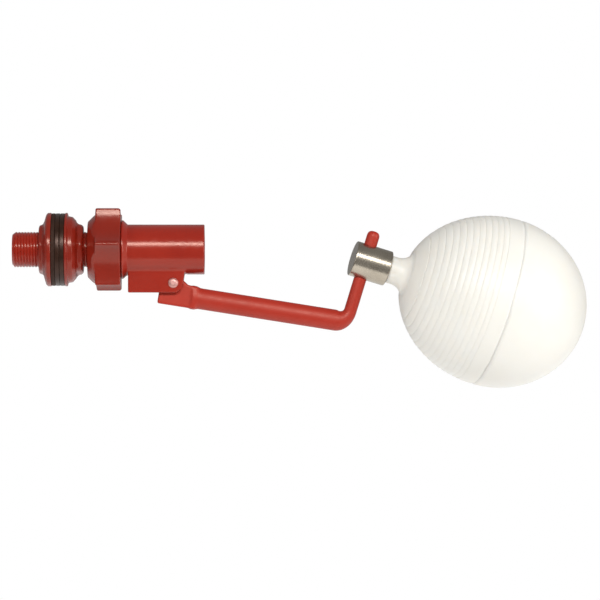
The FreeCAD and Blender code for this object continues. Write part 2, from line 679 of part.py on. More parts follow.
def build_float():
    stud = new_body("float_stud", clamp_frame)
    turned(stud, "screw", [
        ("pad_face + 0.05", "0"),
        ("pad_face + 0.05", "stud_radius - 1"),
        ("pad_face + 1.05", "stud_radius"),
        ("neck_start + 4", "stud_radius"),
        ("neck_start + 4", "stud_radius - 1"),
        ("neck_start + 5.5", "stud_radius - 1"),
        ("neck_start + 5.5", "stud_radius"),
        ("neck_start + 10", "stud_radius"),
        ("neck_start + 10", "0")])

    near = new_body("float_neck_half", clamp_frame)
    half_ellipsoid(near, "shell", True, "0")
    turned(near, "neck", [
        ("neck_start", "0"),
        ("neck_start", "neck_radius - 0.6"),
        ("neck_start + 0.6", "neck_radius"),
        ("neck_start + 3.3", "neck_radius", "9.3"),
        ("neck_start + 12.3", "neck_radius + 7.7"),
        ("neck_start + 15.5", "neck_radius + 7.7"),
        ("neck_start + 15.5", "0")])
    half_ellipsoid(near, "hollow", True, "float_wall", whole=True, cut=True)
    turned(near, "weld_tongue", [
        ("float_reach - 4", "float_radius - float_wall + 0.3"),
        ("float_reach - 4", "float_radius - float_wall - 1.3"),
        ("float_reach + 3", "float_radius - float_wall - 1.3"),
        ("float_reach + 3", "float_radius - float_wall - 0.25"),
        ("float_reach", "float_radius - float_wall - 0.25"),
        ("float_reach", "float_radius - float_wall + 0.3")])
    turned(near, "neck_end", [
        ("neck_start + 11", "0"),
        ("neck_start + 11", "stud_radius + 2"),
        ("neck_start + 16", "stud_radius + 2"),
        ("neck_start + 16", "0")])
    turned(near, "stud_hole", [
        ("neck_start - 1", "0"),
        ("neck_start - 1", "stud_radius"),
        ("neck_start + 4", "stud_radius"),
        ("neck_start + 4", "stud_radius - 1"),
        ("neck_start + 5.5", "stud_radius - 1"),
        ("neck_start + 5.5", "stud_radius"),
        ("neck_start + 10", "stud_radius"),
        ("neck_start + 10", "0")], cut=True)

    far = new_body("float_far_half", clamp_frame)
    half_ellipsoid(far, "shell", False, "0")
    half_ellipsoid(far, "hollow", False, "float_wall", whole=True, cut=True)


build_tail()
build_union()
build_valve_body()
build_nozzle()
build_plunger()
build_pivot()
build_lever()
build_clamp()
build_float()
doc.recompute()

for thing in doc.Objects:
    if "Invalid" in thing.State or "Error" in thing.State:
        raise SystemExit(f"{thing.Label} failed: {thing.State}")

os.makedirs("parts", exist_ok=True)
for label, body in BODIES.items():
    shape = body.Shape
    if shape.isNull() or not shape.isValid() or len(shape.Solids) != 1:
        raise SystemExit(f"{label}: not one valid solid")
    shape.exportStep(f"parts/{label}.step")
    box = shape.BoundBox
    print(f"{label:18s} {shape.Volume / 1000:8.2f} cm3  x {box.XMin:7.2f} {box.XMax:7.2f}"
          f"  y {box.YMin:7.2f} {box.YMax:7.2f}  z {box.ZMin:7.2f} {box.ZMax:7.2f}")
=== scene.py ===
import json
import math

import bpy
import numpy as np
from mathutils import Matrix, Vector


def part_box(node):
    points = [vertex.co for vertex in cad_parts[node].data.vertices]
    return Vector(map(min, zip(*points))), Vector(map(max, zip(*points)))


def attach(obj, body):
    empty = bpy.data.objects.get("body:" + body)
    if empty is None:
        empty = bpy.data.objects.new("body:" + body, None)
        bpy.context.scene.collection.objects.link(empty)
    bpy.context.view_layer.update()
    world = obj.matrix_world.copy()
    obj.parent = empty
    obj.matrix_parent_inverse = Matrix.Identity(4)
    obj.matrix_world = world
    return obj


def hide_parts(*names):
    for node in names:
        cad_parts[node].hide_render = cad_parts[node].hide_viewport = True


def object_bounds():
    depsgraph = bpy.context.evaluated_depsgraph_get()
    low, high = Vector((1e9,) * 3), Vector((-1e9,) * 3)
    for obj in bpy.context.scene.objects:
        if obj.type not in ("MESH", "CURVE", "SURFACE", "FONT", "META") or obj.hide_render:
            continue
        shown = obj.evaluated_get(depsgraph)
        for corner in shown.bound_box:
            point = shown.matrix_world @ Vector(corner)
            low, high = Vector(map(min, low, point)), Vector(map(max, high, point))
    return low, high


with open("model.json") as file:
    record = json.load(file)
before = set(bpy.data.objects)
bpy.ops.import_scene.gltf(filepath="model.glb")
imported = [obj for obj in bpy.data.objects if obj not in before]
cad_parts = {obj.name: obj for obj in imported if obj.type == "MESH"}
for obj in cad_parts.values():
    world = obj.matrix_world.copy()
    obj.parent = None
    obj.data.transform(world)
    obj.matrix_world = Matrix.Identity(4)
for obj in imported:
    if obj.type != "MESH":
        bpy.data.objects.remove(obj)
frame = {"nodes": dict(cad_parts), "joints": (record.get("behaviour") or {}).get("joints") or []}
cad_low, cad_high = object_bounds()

# Float valve for a tank wall. Every length below is in millimetres, and the meshes are made in
# metres. X runs along the valve's axis into the tank and Z is up.
MM = 0.001

# ---- driving sizes ------------------------------------------------------------------------------

# tail, washers and the two nuts that clamp the tank wall
THREAD_RADIUS = 10.67
THREAD_PITCH = 1.814
THREAD_DEPTH = 0.5
THREAD_RUNOUT = 2.5
THREAD_LEAD = 1.4
TAIL_BORE = 7.0
COLLAR_RADIUS = 14.4
COLLAR_DEPTH = 3.2
WASHER_HOLE = 11.0
SEAL_DEPTH = 2.5
FLANGE_RADIUS = 22.3
NUT_THREAD = 10.82
NUT_TURN = math.radians(47)

# union nut
UNION_CORNER = 28.4
UNION_TIP = 27.0
UNION_HOLLOW = 4.4
UNION_TURN = math.radians(53)
UNION_BACK = 16.9
UNION_TAPER = 4.6
UNION_TAPER_RADIUS = 21.4
UNION_FACE = 25.6
UNION_CHAMFER = 1.7
UNION_LIP = 3.4

# valve body
BODY_THREAD = 16.62
BODY_RADIUS = 15.2
BODY_BORE = 12.0
SHOULDER_START = 37.1
SHOULDER_RADIUS = 17.8
SHOULDER_END = 40.8
GASKET_SEAT = 13.7
GASKET_DEPTH = 2.5
BRACKET_START = 41.2
GAP_START = 54.0
EAR_RADIUS = 5.9
EAR_OUTSIDE = 8.5
EAR_INSIDE = 5.0
PIN_RADIUS = 2.0

# lever
HEAD_BACK = 7.8
HEAD_FRONT = 15.2
HEAD_DEPTH = 13.4
HEAD_HALF = 4.7
LEG_LENGTH = 20.2
LEG_HALF = 3.2
LEG_SIDE = 3.0
LEG_ROUND = 0.6
TOE_RADIUS = 3.8
ARM_TILT = math.radians(9)
ARM_DROP = 7.0
ARM_START = 13.0
ARM_REACH = 107.7
ARM_DEPTH = 12.8
ARM_WIDTH = 11.0
BEND_RADIUS = 8.4
POST_RADIUS = 3.87
POST_HEIGHT = 57.5

# clamp collar
CLAMP_RADIUS = 10.75
CLAMP_BACK = 8.0
CLAMP_FRONT = 14.45
CLAMP_BORE = 6.2
CLAMP_FLOOR = 5.2

# float
FLOAT_REACH = 84.6
NECK_HALF_LONG = 60.5
FAR_HALF_LONG = 55.45
FLOAT_RADIUS = 51.95
FLOAT_WALL = 1.8
NECK_RADIUS = 8.4
NECK_START = 14.75
NECK_LENGTH = 12.3
NECK_STRAIGHT = 3.3
STUD_RADIUS = 6.0
STUD_DEPTH = 10.2
RIB_COUNT = 12
RIB_PITCH = 3.53
RIB_DEPTH = 0.4
RIB_STOP = 9.8
SEAM_WIDTH = 0.9
SEAM_DEPTH = 0.7
NEAR_AXIS = math.pi / 2 - 1e-3
TIP_RADIUS = 0.03

# outline radii that only have to lie inside a bore, past the axis or beyond every corner
CORE = 5.0
PAST_AXIS = -9.0
BEYOND = 30.0


def in_mm(vector):
    return np.array([vector[0], vector[1], vector[2]]) / MM


def extent(node):
    """Lowest and highest corner of a CAD node's box, in millimetres."""
    low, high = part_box(node)
    return in_mm(low), in_mm(high)


joint = {j["name"]: j for j in frame["joints"]}
PIVOT = in_mm(joint["lever_pivot"]["pos_m"])
CLAMP = in_mm(joint["float_turn"]["pos_m"])
FLOAT_AXIS = np.array(joint["float_turn"]["axis"], float)
POST_AXIS = np.array(joint["clamp_slide"]["axis"], float)
POST_LEAN = math.atan2(POST_AXIS[0], POST_AXIS[2]) - ARM_TILT


class Local:
    """A frame from its origin and the world directions of its X and Z."""

    def __init__(self, origin, along, up):
        self.origin = np.array(origin, float)
        self.axes = np.array([along, np.cross(up, along), up])

    def out(self, points):
        return self.origin + np.asarray(points, float) @ self.axes


WORLD = Local((0, 0, 0), (1, 0, 0), (0, 0, 1))
LEVER = Local(PIVOT,
              (math.cos(ARM_TILT), 0, -math.sin(ARM_TILT)),
              (math.sin(ARM_TILT), 0, math.cos(ARM_TILT)))
FLOAT = Local(CLAMP, FLOAT_AXIS, POST_AXIS)

# ---- meshes -------------------------------------------------------------------------------------


def make_object(name, points, faces, sharp=None):
    """Smooth-shaded object from points in millimetres; edges over sharp degrees stay crisp."""
    mesh = bpy.data.meshes.new(name)
    mesh.from_pydata((np.asarray(points) * MM).tolist(), [], faces)
    mesh.validate()
    mesh.update()
    mesh.polygons.foreach_set("use_smooth", [True] * len(mesh.polygons))
    if sharp:
        mesh.set_sharp_from_angle(angle=math.radians(sharp))
    piece = bpy.data.objects.new(name, mesh)
    bpy.context.scene.collection.objects.link(piece)
    return piece


def net(name, field, low, high, cell, place=WORLD):
    """Closed mesh on field = 0: a point in each cell that the surface crosses, then moved onto it."""
    low = np.array(low, float) - 2 * cell
    counts = np.ceil((np.array(high) + 2 * cell - low) / cell).astype(int) + 1
    axes = [low[i] + cell * np.arange(counts[i]) for i in range(3)]
    grid = np.stack(np.meshgrid(*axes, indexing="ij"), -1).reshape(-1, 3)
    values = field(grid).reshape(counts)
    total = np.zeros(tuple(counts) + (3,))
    number = np.zeros(tuple(counts))
    quads = []
    for axis in range(3):
        start = np.take(values, range(counts[axis] - 1), axis)
        end = np.take(values, range(1, counts[axis]), axis)
        at = np.argwhere((start < 0) != (end < 0))
        pick = tuple(at.T)
        share = start[pick] / (start[pick] - end[pick])
        crossing = low + cell * at
        crossing[:, axis] += cell * share
        u, v = np.eye(3, dtype=int)[(axis + 1) % 3], np.eye(3, dtype=int)[(axis + 2) % 3]
        ring = [at, at - u, at - u - v, at - v]
        for cells in ring:
            np.add.at(total, tuple(cells.T), crossing)
            np.add.at(number, tuple(cells.T), 1)
        flat = np.stack([np.ravel_multi_index(tuple(cells.T), tuple(counts)) for cells in ring], 1)
        outward = start[pick] < 0
        quads.append(np.where(outward[:, None], flat, flat[:, ::-1]))
    used = np.flatnonzero(number.ravel())
    points = total.reshape(-1, 3)[used] / number.ravel()[used, None]
    step = 0.05 * cell
    for _ in range(4):
        rise = [field(points + step * way) - field(points - step * way) for way in np.eye(3)]
        slope = np.stack(rise, 1) / (2 * step)
        move = (field(points) / np.maximum((slope ** 2).sum(1), 0.2))[:, None] * slope
        points -= np.clip(move, -cell, cell)
    renumber = np.full(number.size, -1)
    renumber[used] = np.arange(len(used))
    faces = renumber[np.concatenate(quads)]
    return make_object(name, place.out(points), faces.tolist())


def grid_faces(rows, columns, first=0):
    """Quads of a grid of points that closes both round each row and from the last row to the first."""
    row, column = np.meshgrid(np.arange(rows), np.arange(columns), indexing="ij")
    down, across = (row + 1) % rows, (column + 1) % columns
    return (np.stack([row * columns + column, row * columns + across, down * columns + across,
                      down * columns + column], -1).reshape(-1, 4) + first)


def lathe(name, outline, place=WORLD, columns=160, sharp=35, radius=None):
    """Ring turned about the local X axis from a closed outline of (along, out) points. radius, when
    given, changes the radius by angle: radius(along, out, angle)."""
    outline = np.array(outline, float)
    angle = np.linspace(0, 2 * math.pi, columns, endpoint=False)
    along = np.repeat(outline[:, :1], columns, 1)
    out = np.repeat(outline[:, 1:], columns, 1)
    if radius:
        out = radius(along, out, angle[None, :])
    points = np.stack([along, out * np.cos(angle), out * np.sin(angle)], -1).reshape(-1, 3)
    return make_object(name, place.out(points), grid_faces(len(outline), columns).tolist(), sharp)


def rounded(corners, steps=4):
    """Closed outline with arcs at its corners; a corner is (along, out, radius of its arc)."""
    made = []
    count = len(corners)
    for index in range(count):
        corner = np.array(corners[index][:2], float)
        radius = corners[index][2] if len(corners[index]) > 2 else 0
        if not radius:
            made.append(corner)
            continue
        to = [np.array(corners[(index + turn) % count][:2], float) - corner for turn in (-1, 1)]
        to = [way / np.linalg.norm(way) for way in to]
        half = math.acos(np.clip(to[0] @ to[1], -1, 1)) / 2
        back = radius / math.tan(half)
        middle = corner + (to[0] + to[1]) / np.linalg.norm(to[0] + to[1]) * radius / math.sin(half)
        first = corner + to[0] * back - middle
        last = corner + to[1] * back - middle
        sweep = math.atan2(first[0] * last[1] - first[1] * last[0], first @ last)
        for step in range(steps + 1):
            turn = sweep * step / steps
            spin = np.array([[math.cos(turn), -math.sin(turn)], [math.sin(turn), math.cos(turn)]])
            made.append(middle + spin @ first)
    return made


# ---- fields: signed distances in millimetres, minus inside --------------------------------------


def polygon(u, v, corners):
    """Distance to a closed outline."""
    nearest = np.full(u.shape, 1e9)
    inside = np.zeros(u.shape, bool)
    for (u0, v0), (u1, v1) in zip(corners, corners[1:] + corners[:1]):
        du, dv = u1 - u0, v1 - v0
        share = np.clip(((u - u0) * du + (v - v0) * dv) / (du * du + dv * dv), 0, 1)
        nearest = np.minimum(nearest, (u - u0 - share * du) ** 2 + (v - v0 - share * dv) ** 2)
        if dv:
            inside ^= ((v0 > v) != (v1 > v)) & (u < u0 + (v - v0) * du / dv)
    return np.where(inside, -1, 1) * np.sqrt(nearest)


def inset(corners, depth):
    """The outline moved inwards by depth."""
    points = [np.array(corner, float) for corner in corners]
    area = sum(a[0] * b[1] - a[1] * b[0] for a, b in zip(points, points[1:] + points[:1]))
    made = []
    for before, here, after in zip(points[-1:] + points[:-1], points, points[1:] + points[:1]):
        way_in = (here - before) / np.linalg.norm(here - before)
        way_out = (after - here) / np.linalg.norm(after - here)
        normals = [np.array([-way[1], way[0]]) * math.copysign(1, area) for way in (way_in, way_out)]
        middle = normals[0] + normals[1]
        made.append(tuple(here + middle * depth / (1 + normals[0] @ normals[1])))
    return made


def turned(p, corners, soft):
    """Solid of revolution about X with its outer corners rounded by soft."""
    return polygon(p[:, 0], np.hypot(p[:, 1], p[:, 2]), inset(corners, soft)) - soft


def slab(flat, across, half, soft):
    """Flat outline given thickness half to each side, its edges rounded by soft."""
    side = np.abs(across) - (half - soft)
    return np.hypot(np.maximum(flat, 0), np.maximum(side, 0)) + np.minimum(np.maximum(flat, side), 0) - soft


def join(a, b, soft):
    mix = np.clip(0.5 + 0.5 * (b - a) / soft, 0, 1)
    return b + (a - b) * mix - soft * mix * (1 - mix)


def cut(a, b, soft):
    return -join(-a, b, soft)


def both(a, b, soft):
    return -join(-a, -b, soft)


# ---- materials ----------------------------------------------------------------------------------


class Recipe:
    """A node material. Noise is in object space, so its scale is in features per metre."""

    def __init__(self, name):
        self.material = bpy.data.materials.new(name)
        self.material.use_nodes = True
        self.nodes = self.material.node_tree.nodes
        self.links = self.material.node_tree.links
        self.shader = self.nodes["Principled BSDF"]
        self.place = self.nodes.new("ShaderNodeTexCoord").outputs["Object"]
        self.height = None

    def set(self, **values):
        for key, value in values.items():
            self.shader.inputs[key.replace("_", " ")].default_value = value
        return self

    def noise(self, scale, detail=4.0, stretch=None, rough=0.55):
        source = self.place
        if stretch is not None:
            mapping = self.nodes.new("ShaderNodeMapping")
            mapping.inputs["Scale"].default_value = stretch
            self.links.new(source, mapping.inputs["Vector"])
            source = mapping.outputs["Vector"]
        node = self.nodes.new("ShaderNodeTexNoise")
        node.inputs["Scale"].default_value = scale
        node.inputs["Detail"].default_value = detail
        node.inputs["Roughness"].default_value = rough
        self.links.new(source, node.inputs["Vector"])
        return node.outputs["Fac"]

    def span(self, value, low, high, start=0.3, end=0.7):
        node = self.nodes.new("ShaderNodeMapRange")
        for key, number in (("From Min", start), ("From Max", end), ("To Min", low), ("To Max", high)):
            node.inputs[key].default_value = number
        self.links.new(value, node.inputs["Value"])
        return node.outputs["Result"]

    def mix(self, share, first, second):
        node = self.nodes.new("ShaderNodeMix")
        node.data_type = "RGBA"
        for socket, colour in ((6, first), (7, second)):
            if isinstance(colour, tuple):
                node.inputs[socket].default_value = (*colour, 1)
            else:
                self.links.new(colour, node.inputs[socket])
        self.links.new(share, node.inputs[0])
        return node.outputs[2]

    def colour(self, value):
        self.links.new(value, self.shader.inputs["Base Color"])
        return self

    def roughness(self, value):
        self.links.new(value, self.shader.inputs["Roughness"])
        return self

    def bump(self, value, depth):
        """Raise the surface by value times depth metres."""
        node = self.nodes.new("ShaderNodeBump")
        node.inputs["Distance"].default_value = depth
        node.inputs["Strength"].default_value = 1.0
        self.links.new(value, node.inputs["Height"])
        if self.height:
            self.links.new(self.height, node.inputs["Normal"])
        self.height = node.outputs["Normal"]
        self.links.new(self.height, self.shader.inputs["Normal"])
        return self


def moulded(name, base, dark, gloss=(0.17, 0.26), peel=4e-6):
    """Glossy injection moulding: slow colour drift, fine orange peel, faint scuffs."""
    recipe = Recipe(name).set(Specular_IOR_Level=0.5, IOR=1.5, Specular_Tint=(1, 0.76, 0.64, 1))
    drift = recipe.mix(recipe.span(recipe.noise(38, 3), 0, 1), base, dark)
    scuffs = recipe.span(recipe.noise(900, 6, (1, 1, 0.15), 0.7), 0, 0.12, 0.62, 0.8)
    pale = tuple(0.7 * c + 0.3 * max(base) for c in base)
    recipe.colour(recipe.mix(scuffs, drift, pale))
    recipe.roughness(recipe.span(recipe.noise(260, 5), *gloss))
    recipe.bump(recipe.noise(1100, 3), peel)
    return recipe.bump(recipe.noise(130, 2), 6 * peel).material


def rubber(name, gloss):
    """Moulded rubber: near black, with a fine grain."""
    recipe = Recipe(name).set(Specular_IOR_Level=0.4, Specular_Tint=(1, 0.7, 0.6, 1))
    cloud = recipe.span(recipe.noise(240, 6), 0, 1)
    recipe.colour(recipe.mix(cloud, (0.010, 0.003, 0.001), (0.020, 0.007, 0.003)))
    recipe.roughness(recipe.span(recipe.noise(700, 4), *gloss))
    return recipe.bump(recipe.noise(1800, 4), 2e-5).material


def metal(name, base, dark, gloss, stretch):
    """Turned metal: fine lines round the axis, by noise stretched square to it."""
    recipe = Recipe(name).set(Metallic=1.0)
    lines = recipe.noise(1.0, 3, stretch, 0.65)
    recipe.colour(recipe.mix(recipe.span(recipe.noise(90, 5), 0, 1), base, dark))
    recipe.roughness(recipe.span(lines, *gloss))
    return recipe.bump(lines, 1.2e-5).material


def float_plastic():
    """Satin white plastic that lets a little light in, with a slow cloudiness and faint marks."""
    recipe = Recipe("float_plastic").set(Specular_IOR_Level=0.4)
    recipe.set(Subsurface_Weight=0.5, Subsurface_Scale=0.006, Subsurface_Radius=(1.0, 0.85, 0.7))
    cloud = recipe.mix(recipe.span(recipe.noise(16, 4), 0, 1), (0.71, 0.68, 0.62), (0.675, 0.645, 0.585))
    marks = recipe.span(recipe.noise(420, 7, None, 0.7), 0, 0.35, 0.64, 0.8)
    recipe.colour(recipe.mix(marks, cloud, (0.65, 0.62, 0.55)))
    recipe.roughness(recipe.span(recipe.noise(120, 4), 0.34, 0.48))
    recipe.bump(recipe.noise(70, 2), 6e-5)
    return recipe.bump(recipe.noise(1500, 3), 6e-6).material


RED = moulded("red_plastic", (0.265, 0.015, 0.0065), (0.225, 0.011, 0.005))
# Painted shade: the tail nuts and the union nut use a darker copy of the body's red plastic, so the shade
# they sit in is painted into their colour.
SHADED_NUT_RED = moulded("nut_plastic_painted_shade", (0.20, 0.012, 0.0055), (0.17, 0.0095, 0.004))
# Painted light: the lever uses a lighter copy of the body's red plastic, so the extra light on its broad
# front is painted into its colour. Its rougher finish is real.
LIT_ARM_RED = moulded("arm_plastic", (0.33, 0.017, 0.007), (0.285, 0.013, 0.005), (0.42, 0.54))
JET = moulded("jet_plastic", (0.72, 0.72, 0.68), (0.64, 0.63, 0.59), gloss=(0.3, 0.42))
RUBBER = rubber("black_rubber", (0.28, 0.42))
MATT_RUBBER = rubber("matt_rubber", (0.6, 0.8))
AXIAL = tuple(40 + 4200 * abs(way) for way in FLOAT_AXIS)
STEEL = metal("steel", (0.42, 0.375, 0.305), (0.34, 0.30, 0.24), (0.2, 0.32), AXIAL)
PIN_STEEL = metal("pin_steel", (0.60, 0.33, 0.29), (0.52, 0.27, 0.24), (0.42, 0.56), (900, 60, 900))
BRASS = metal("brass", (0.72, 0.50, 0.20), (0.60, 0.40, 0.15), (0.22, 0.36), AXIAL)
WHITE = float_plastic()


def finished(piece, body, node, material):
    """Give a piece its material, its body and the CAD node it stands for."""
    piece.data.materials.clear()
    piece.data.materials.append(material)
    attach(piece, body)
    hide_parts(node)


# ---- tail ---------------------------------------------------------------------------------------


def tail():
    low, high = extent("inlet_shank")
    collar = high[0] - COLLAR_DEPTH

    def thread(along, out, angle):
        """Cut the helix into the crest, fading out at both ends of the threaded length."""
        phase = (along / THREAD_PITCH - angle / (2 * math.pi)) % 1
        groove = np.clip((1 - np.abs(2 * phase - 1) - 0.35) / 0.6, 0, 1)
        lead_in = np.clip((along - low[0] - 0.3) / 1.2, 0, 1)
        lead_out = np.clip((collar - THREAD_RUNOUT - along) / THREAD_RUNOUT, 0, 1)
        crest = out > THREAD_RADIUS - 0.05
        return np.where(crest, out - THREAD_DEPTH * groove * lead_in * lead_out, out)

    start = low[0] + THREAD_LEAD
    rows = int((collar - start) / (THREAD_PITCH / 14))
    outside = [(x, THREAD_RADIUS) for x in np.linspace(start, collar - 0.01, rows)]
    ends = rounded([
        (collar, THREAD_RADIUS - 1.2), (collar, COLLAR_RADIUS, 0.4), (high[0], COLLAR_RADIUS, 0.4),
        (high[0], TAIL_BORE, 0.4), (low[0], TAIL_BORE, 0.6), (low[0], THREAD_RADIUS - 1.3, 0.4)])
    ends = [tuple(point) for point in ends]
    shank = lathe("tail_tube", outside + ends, columns=144, sharp=50, radius=thread)
    finished(shank, "tail", "inlet_shank", RED)


def washers():
    """The outer washer as a matt seal and a satin ring, and the inner washer."""
    low, high = extent("outer_washer")
    split = low[0] + SEAL_DEPTH
    inner_end = extent("inner_washer")[1][0]
    for name, start, end, node, body, material in (
            ("outer_seal_ring", low[0], split, "outer_washer", "wall_washer", MATT_RUBBER),
            ("outer_washer_ring", split, high[0], "outer_washer", "wall_washer", RUBBER),
            ("inner_washer_ring", high[0], inner_end, "inner_washer", "tail", RUBBER)):
        section = rounded([(start, WASHER_HOLE, 0.3), (start, high[2], 0.6),
                           (end, high[2], 0.6), (end, WASHER_HOLE, 0.3)], 6)
        finished(lathe(name, section), body, node, material)


def hexagon(p, corner, turn):
    """Distance to a flat-sided hexagon about X, with one corner at the angle turn."""
    angle = (np.arctan2(p[:, 2], p[:, 1]) - turn) % (math.pi / 3) - math.pi / 6
    return np.hypot(p[:, 1], p[:, 2]) * np.cos(angle) - corner * math.cos(math.pi / 6)


def flanged_nut(node, body, facing, flange, hub, corner):
    """Nut on the tail from its two profiles, which start at the face that presses on the washer."""
    low, high = extent(node)
    face = high[0] if facing < 0 else low[0]

    def field(p):
        q = np.stack([(p[:, 0] - face) * facing, p[:, 1], p[:, 2]], 1)
        grip = both(hexagon(q, corner, NUT_TURN), turned(q, hub, 0.8), 1.0)
        thread = np.hypot(q[:, 1], q[:, 2]) - NUT_THREAD
        return cut(join(turned(q, flange, 0.45), grip, 2.0), thread, 0.5)

    nut = net(node + "_moulding", field, low, high, 0.4)
    finished(nut, body, node, SHADED_NUT_RED)


def flanged_nuts():
    flanged_nut("lock_nut", "lock_nut", -1,
                [(0, CORE), (0, FLANGE_RADIUS), (2.2, FLANGE_RADIUS), (3.2, 21.2), (4.6, 16.6), (4.6, CORE)],
                [(1, CORE), (1, 15.6), (4.6, 15.6), (6.9, 15.0), (7.6, 14.0), (7.6, CORE)], 16.6)
    flanged_nut("inner_nut", "tail", 1,
                [(0, CORE), (0, FLANGE_RADIUS), (1.5, FLANGE_RADIUS), (2.0, 20.3), (4.6, 19.8), (6.6, 17.7),
                 (7.2, 16.2), (7.2, CORE)],
                [(1, CORE), (1, 16.2), (7.2, 16.2), (9.9, 15.4), (11.1, 14.0), (11.1, CORE)], 16.9)


# ---- union nut ----------------------------------------------------------------------------------


def union_nut():
    """Hexagon nut with hollow sides: each side is scooped by a cylinder that passes the two corners."""
    low, high = extent("union_nut")
    back, front = low[0], high[0]
    side = UNION_CORNER * math.cos(math.pi / 6)
    scoop = (UNION_CORNER ** 2 / 4 + UNION_HOLLOW ** 2) / (2 * UNION_HOLLOW)
    far = side - UNION_HOLLOW + scoop

    def field(p):
        angle = (np.arctan2(p[:, 2], p[:, 1]) - UNION_TURN) % (math.pi / 3) - math.pi / 6
        out = np.hypot(p[:, 1], p[:, 2])
        scooped = scoop - np.hypot(out * np.cos(angle) - far, out * np.sin(angle))
        ring = both(scooped, out - UNION_TIP, 0.7)
        envelope = turned(p, [
            (back, CORE), (back, UNION_BACK), (back + UNION_TAPER, UNION_TAPER_RADIUS),
            (back + UNION_TAPER + 0.6, BEYOND), (front - UNION_CHAMFER, BEYOND), (front, UNION_FACE),
            (front, CORE)], 0.5)
        lip = out - (THREAD_RADIUS + 0.25)
        bore = np.maximum(out - (BODY_THREAD + 0.15), back + UNION_LIP - p[:, 0])
        return cut(cut(both(ring, envelope, 0.9), lip, 0.4), bore, 0.5)

    nut = net("union_nut_moulding", field, low, high, 0.4)
    finished(nut, "tail", "union_nut", SHADED_NUT_RED)


# ---- valve body ---------------------------------------------------------------------------------


def valve_body():
    low, high = extent("valve_body")
    start, end = low[0], high[0]
    foot = PIVOT[2] - EAR_RADIUS
    front = PIVOT[0] + EAR_RADIUS

    def field(p):
        x, y, z = p.T
        out = np.hypot(y, z)
        barrel = turned(p, [
            (start, CORE), (start, BODY_THREAD), (SHOULDER_START, BODY_THREAD),
            (SHOULDER_START, SHOULDER_RADIUS), (SHOULDER_START + 1, SHOULDER_RADIUS),
            (SHOULDER_END, BODY_RADIUS), (end, BODY_RADIUS), (end, CORE)], 0.45)
        side = polygon(x, z, inset([
            (BRACKET_START, -11), (BRACKET_START, foot), (PIVOT[0] + 1.6, foot),
            (PIVOT[0] + 4.2, foot + 1.7), (front, PIVOT[2]), (front + 1.4, -11)], 0.7))
        solid = join(barrel, slab(side, y, EAR_OUTSIDE, 0.7), 1.6)
        gap = polygon(x, z, [(GAP_START, -BODY_RADIUS), (GAP_START, -40), (90, -40), (90, -BODY_RADIUS)])
        solid = cut(solid, slab(gap, y, EAR_INSIDE, 0.01), 0.35)
        bore = turned(p, [
            (start - 9, PAST_AXIS), (start - 9, GASKET_SEAT), (start + GASKET_DEPTH, GASKET_SEAT),
            (start + GASKET_DEPTH, BODY_BORE), (end + 9, BODY_BORE), (end + 9, PAST_AXIS)], 0.01)
        solid = cut(solid, bore, 0.9)
        slot = polygon(x, z, [
            (PIVOT[0] - 8, -8), (PIVOT[0] - 8, -19), (PIVOT[0] + 8, -19), (PIVOT[0] + 8, -8)])
        solid = cut(solid, slab(slot, y, LEG_SIDE + 0.5, 0.01), 0.5)
        pin = np.hypot(x - PIVOT[0], z - PIVOT[2]) - (PIN_RADIUS + 0.02)
        return cut(solid, pin, 0.3)

    body = net("valve_body_moulding", field, low, high, 0.42)
    finished(body, "valve", "valve_body", RED)


# ---- lever --------------------------------------------------------------------------------------


